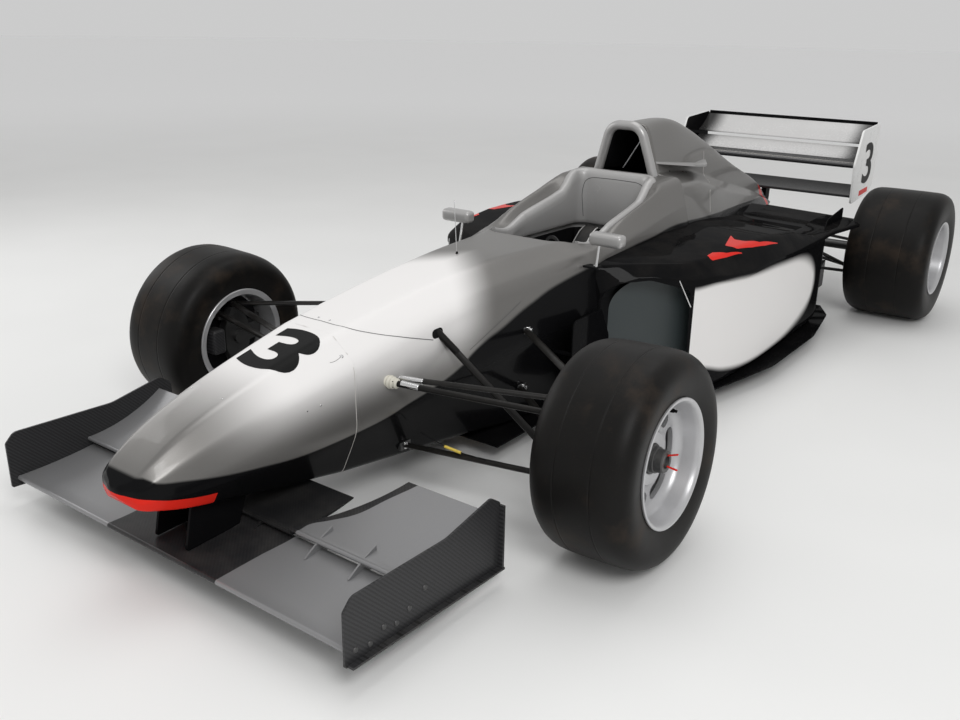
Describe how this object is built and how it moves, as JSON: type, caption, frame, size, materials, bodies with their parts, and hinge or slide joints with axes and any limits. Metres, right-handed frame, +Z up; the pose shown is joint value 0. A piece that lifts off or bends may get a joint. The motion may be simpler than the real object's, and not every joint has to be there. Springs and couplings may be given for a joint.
{
  "type": "open wheel racing car",
  "caption": "Open wheel racing car with an open cockpit, slick tyres, steered front wheels, wishbone suspension, side pods, tall engine cover and front and rear wings",
  "frame": {"origin": "centre of the bounding box, on the ground under the car", "axes": "+X to the driver's left, +Y towards the rear wing, +Z up"},
  "size_m": [2, 4.404, 1.002],
  "materials": {
    "silver_paint": "semi-gloss silver paint",
    "white_paint": "gloss white paint",
    "black_gloss": "gloss black",
    "carbon": "satin woven carbon",
    "tyre": "dusty slick rubber",
    "wheel_silver": "painted silver",
    "steel": "satin",
    "cast_metal": "cast and matt",
    "core": "fine fins",
    "wood_plank": "dark laminate",
    "trim": "matt black",
    "lamp": "clear red"
  },
  "bodies": {
    "chassis": {"bargeboards": "carbon", "diffuser": "carbon", "engine": "cast_metal", "engine_cover": "silver_paint", "floor": "carbon", "front_centre_flap": "carbon", "front_endplates": "carbon", "front_flaps": "silver_paint", "front_lower_wishbones": "black_gloss", "front_main_plane": "silver_paint", "front_upper_wishbones": "black_gloss", "gearbox": "cast_metal", "headrest": "silver_paint", "mirrors": "silver_paint", "monocoque": "silver_paint", "nose_cone": "silver_paint", "plank": "wood_plank", "radiators": "core", "rain_light": "lamp", "rear_beam_wing": "carbon", "rear_endplates": "white_paint", "rear_flap": "white_paint", "rear_main_plane": "white_paint", "rear_uprights": "steel", "rear_wing_pillar": "carbon", "rear_wishbones": "black_gloss", "roll_hoop": "silver_paint", "seat": "trim", "sidepod_left": "white_paint", "sidepod_right": "white_paint", "winglets": "silver_paint"},
    "knuckle_left": {"front_upright_left": "steel"},
    "knuckle_right": {"front_upright_right": "steel"},
    "front_wheel_left": {"front_tyre_left": "tyre", "front_rim_left": "wheel_silver", "front_hub_left": "steel"},
    "front_wheel_right": {"front_tyre_right": "tyre", "front_rim_right": "wheel_silver", "front_hub_right": "steel"},
    "rear_wheel_left": {"rear_tyre_left": "tyre", "rear_rim_left": "wheel_silver", "rear_hub_left": "steel"},
    "rear_wheel_right": {"rear_tyre_right": "tyre", "rear_rim_right": "wheel_silver", "rear_hub_right": "steel"},
    "steering_rack": {"steering_rack": "steel"},
    "steering_wheel": {"steering_wheel": "trim"}
  },
  "joints": [
    {"name": "steer_left", "type": "hinge", "parent": "chassis", "child": "knuckle_left", "pos_m": [0.7502, -1.217, 0.3007], "axis": [0, 0, 1], "range_deg": [-14, 14]},
    {"name": "steer_right", "type": "hinge", "parent": "chassis", "child": "knuckle_right", "pos_m": [-0.7502, -1.217, 0.3007], "axis": [0, 0, 1], "range_deg": [-14, 14]},
    {"name": "rack_slide", "type": "slide", "parent": "chassis", "child": "steering_rack", "axis": [1, 0, 0], "range_m": [-0.016, 0.016]},
    {"name": "steering_wheel_turn", "type": "hinge", "parent": "chassis", "child": "steering_wheel", "pos_m": [0, -0.375, 0.492], "axis": [0, 0.9781, 0.2079], "range_deg": [-114, 114]},
    {"name": "front_wheel_left_spin", "type": "hinge", "parent": "knuckle_left", "child": "front_wheel_left", "pos_m": [0.8462, -1.217, 0.3007], "axis": [0.9992, 0, 0.0401], "continuous": true},
    {"name": "front_wheel_right_spin", "type": "hinge", "parent": "knuckle_right", "child": "front_wheel_right", "pos_m": [-0.8462, -1.217, 0.3007], "axis": [0.9992, 0, -0.0401], "continuous": true},
    {"name": "rear_wheel_left_spin", "type": "hinge", "parent": "chassis", "child": "rear_wheel_left", "pos_m": [0.81, 1.683, 0.313], "axis": [1, 0, 0], "continuous": true},
    {"name": "rear_wheel_right_spin", "type": "hinge", "parent": "chassis", "child": "rear_wheel_right", "pos_m": [-0.81, 1.683, 0.313], "axis": [1, 0, 0], "continuous": true}
  ],
  "couplings": [
    {"joint": "steer_right", "follows": "steer_left", "ratio": 1},
    {"joint": "rack_slide", "follows": "steer_left", "m_per_rad": 0.06},
    {"joint": "steering_wheel_turn", "follows": "steer_left", "ratio": 8}
  ]
}
